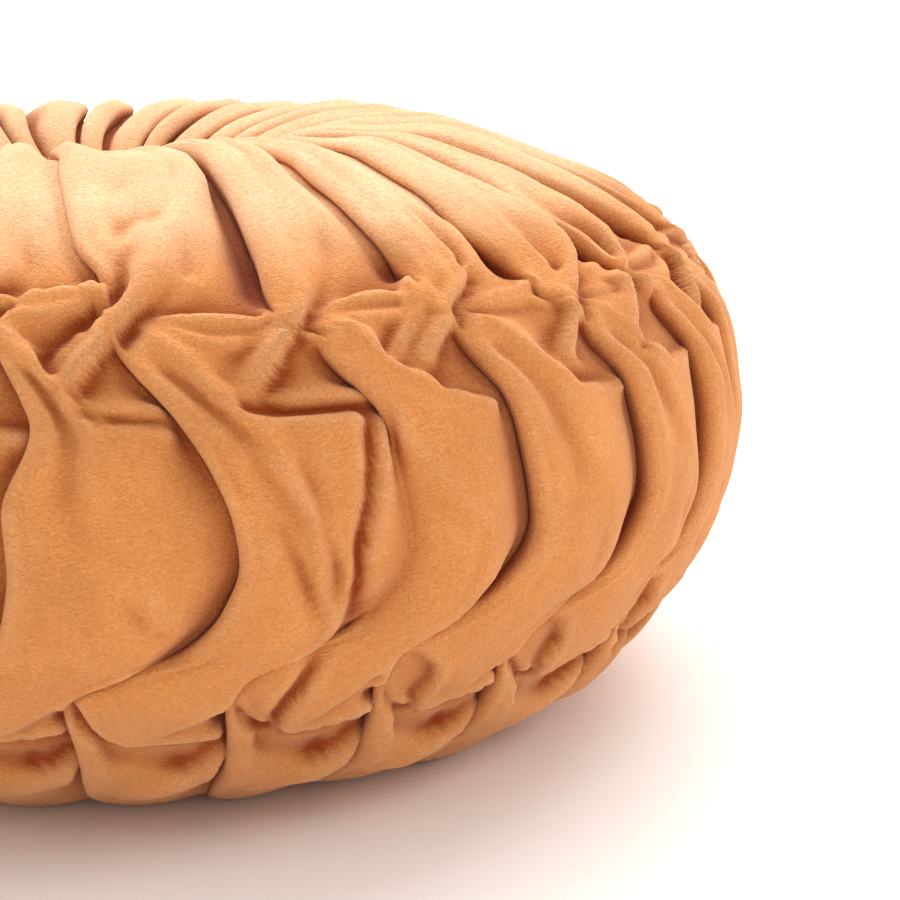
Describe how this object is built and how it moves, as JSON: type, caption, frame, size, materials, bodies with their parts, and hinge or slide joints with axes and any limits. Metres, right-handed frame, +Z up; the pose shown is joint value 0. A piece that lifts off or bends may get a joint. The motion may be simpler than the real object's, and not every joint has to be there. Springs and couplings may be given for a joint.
{
  "type": "pumpkin cushion",
  "caption": "Round plush cushion gathered into deep overlapping pleats round its side, drawn in to a covered button in a dimple on each face.",
  "frame": {"origin": "middle of the underside, on the surface that the cushion rests on", "axes": "+Z up through the cushion's middle; -Y towards the side that the picture shows nearest; +X to its right"},
  "size_m": [0.3498, 0.3491, 0.1643],
  "materials": {
    "cover_plush": "apricot orange short-pile plush with a soft sheen, matt in the folds",
    "button_plush": "the cover's short-pile plush stretched over a button"
  },
  "bodies": {
    "root": {"cover": "cover_plush", "button_top": "button_plush", "button_bottom": "button_plush"}
  },
  "joints": []
}
